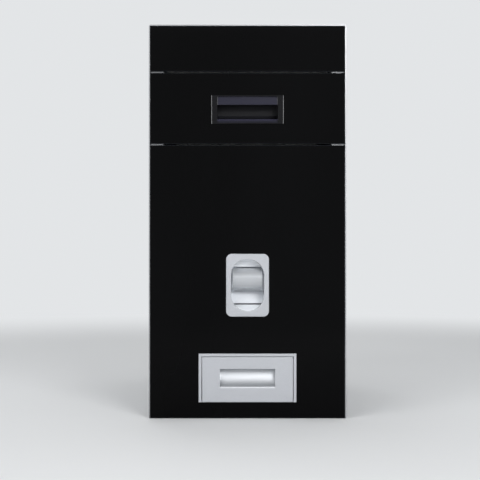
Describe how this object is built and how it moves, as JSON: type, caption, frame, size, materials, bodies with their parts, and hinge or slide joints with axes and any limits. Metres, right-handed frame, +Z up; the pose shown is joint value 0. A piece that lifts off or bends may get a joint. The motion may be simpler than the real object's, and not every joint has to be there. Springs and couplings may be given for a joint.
{
  "type": "built-in grain dispenser",
  "caption": "Black glass-fronted pull-out bin for a kitchen cabinet, with a recessed handle, a press lever that meters grain from a hopper, and a small drawer that catches it.",
  "frame": {"origin": "centre of the base's screw pattern, on the underside of the base frame, which stands on the cabinet floor", "axes": "+X to the right as seen from the front, +Y from the front to the back, +Z up"},
  "size_m": [0.297, 0.4635, 0.592],
  "materials": {
    "black_glass": "back-painted black, polished",
    "anodised_aluminium": "satin anodised",
    "black_plastic": "semi-gloss black",
    "silver_plastic": "silver lacquered",
    "grey_sheet": "powder-coated light grey",
    "zinc_steel": "zinc plated",
    "bright_steel": "bright",
    "white_plastic": "moulded white",
    "grey_plastic": "moulded grey",
    "black_rubber": "matt"
  },
  "bodies": {
    "runner_base": {"base_frame": "zinc_steel", "outer_rail_left": "zinc_steel", "outer_rail_right": "zinc_steel", "base_rivets": "bright_steel"},
    "middle_rails": {"middle_rail_left": "zinc_steel", "middle_rail_right": "zinc_steel"},
    "outer_cages": {"outer_ball_cages": "bright_steel"},
    "inner_cages": {"inner_ball_cages": "bright_steel"},
    "lid": {"lid": "white_plastic", "lid_seal": "black_rubber"},
    "lever": {"lever_paddle": "silver_plastic", "lever_shaft": "bright_steel", "shaft_clips": "bright_steel", "crank_left": "grey_plastic", "crank_right": "grey_plastic", "crank_pins": "bright_steel"},
    "measuring_slide": {"measuring_slide": "grey_plastic"},
    "grain_drawer": {"tray_box": "white_plastic", "tray_front": "silver_plastic"},
    "bin": {"back_panel": "grey_sheet", "carriage": "zinc_steel", "carriage_rivets": "bright_steel", "case_screws_left": "bright_steel", "case_screws_right": "bright_steel", "door_pads": "black_rubber", "fascia_glass": "black_glass", "frame_bottom_rail": "anodised_aluminium", "frame_screws": "bright_steel", "frame_stile_left": "anodised_aluminium", "frame_stile_right": "anodised_aluminium", "frame_top_rail": "anodised_aluminium", "handle_glass": "black_glass", "hinge_pins": "bright_steel", "hopper": "white_plastic", "inner_rail_left": "zinc_steel", "inner_rail_right": "zinc_steel", "lever_bezel": "silver_plastic", "lever_cup": "silver_plastic", "main_glass": "black_glass", "mechanism_shelf": "grey_sheet", "meter_cover": "grey_plastic", "meter_housing": "grey_plastic", "meter_screws": "bright_steel", "outlet_chute": "white_plastic", "pull_handle": "black_plastic", "return_spring": "bright_steel", "side_panel_left": "grey_sheet", "side_panel_right": "grey_sheet", "tray_bezel": "silver_plastic", "tray_sleeve": "white_plastic"}
  },
  "joints": [
    {"name": "bin_pull", "type": "slide", "parent": "runner_base", "child": "bin", "axis": [0, -1, 0], "range_m": [0, 0.4]},
    {"name": "middle_rail_slide", "type": "slide", "parent": "runner_base", "child": "middle_rails", "axis": [0, -1, 0], "range_m": [0, 0.2]},
    {"name": "outer_cage_roll", "type": "slide", "parent": "runner_base", "child": "outer_cages", "axis": [0, -1, 0], "range_m": [0, 0.1]},
    {"name": "inner_cage_roll", "type": "slide", "parent": "runner_base", "child": "inner_cages", "axis": [0, -1, 0], "range_m": [0, 0.3]},
    {"name": "lid_hinge", "type": "hinge", "parent": "bin", "child": "lid", "pos_m": [0, 0.212, 0.5455], "axis": [-1, 0, 0], "range_deg": [0, 100]},
    {"name": "lever_press", "type": "hinge", "parent": "bin", "child": "lever", "pos_m": [0, -0.189, 0.181], "axis": [1, 0, 0], "range_deg": [0, 24], "stiffness_Nm_per_rad": 0.6, "springref_deg": -22.92},
    {"name": "measure_slide", "type": "slide", "parent": "bin", "child": "measuring_slide", "axis": [0, -1, 0], "range_m": [0, 0.0267], "deforming": ["return_spring"]},
    {"name": "drawer_pull", "type": "slide", "parent": "bin", "child": "grain_drawer", "axis": [0, -1, 0], "range_m": [0, 0.14]}
  ],
  "couplings": [
    {"joint": "middle_rail_slide", "follows": "bin_pull", "ratio": 0.5},
    {"joint": "outer_cage_roll", "follows": "bin_pull", "ratio": 0.25},
    {"joint": "inner_cage_roll", "follows": "bin_pull", "ratio": 0.75},
    {"joint": "measure_slide", "follows": "lever_press", "m_per_rad": 0.063533}
  ]
}
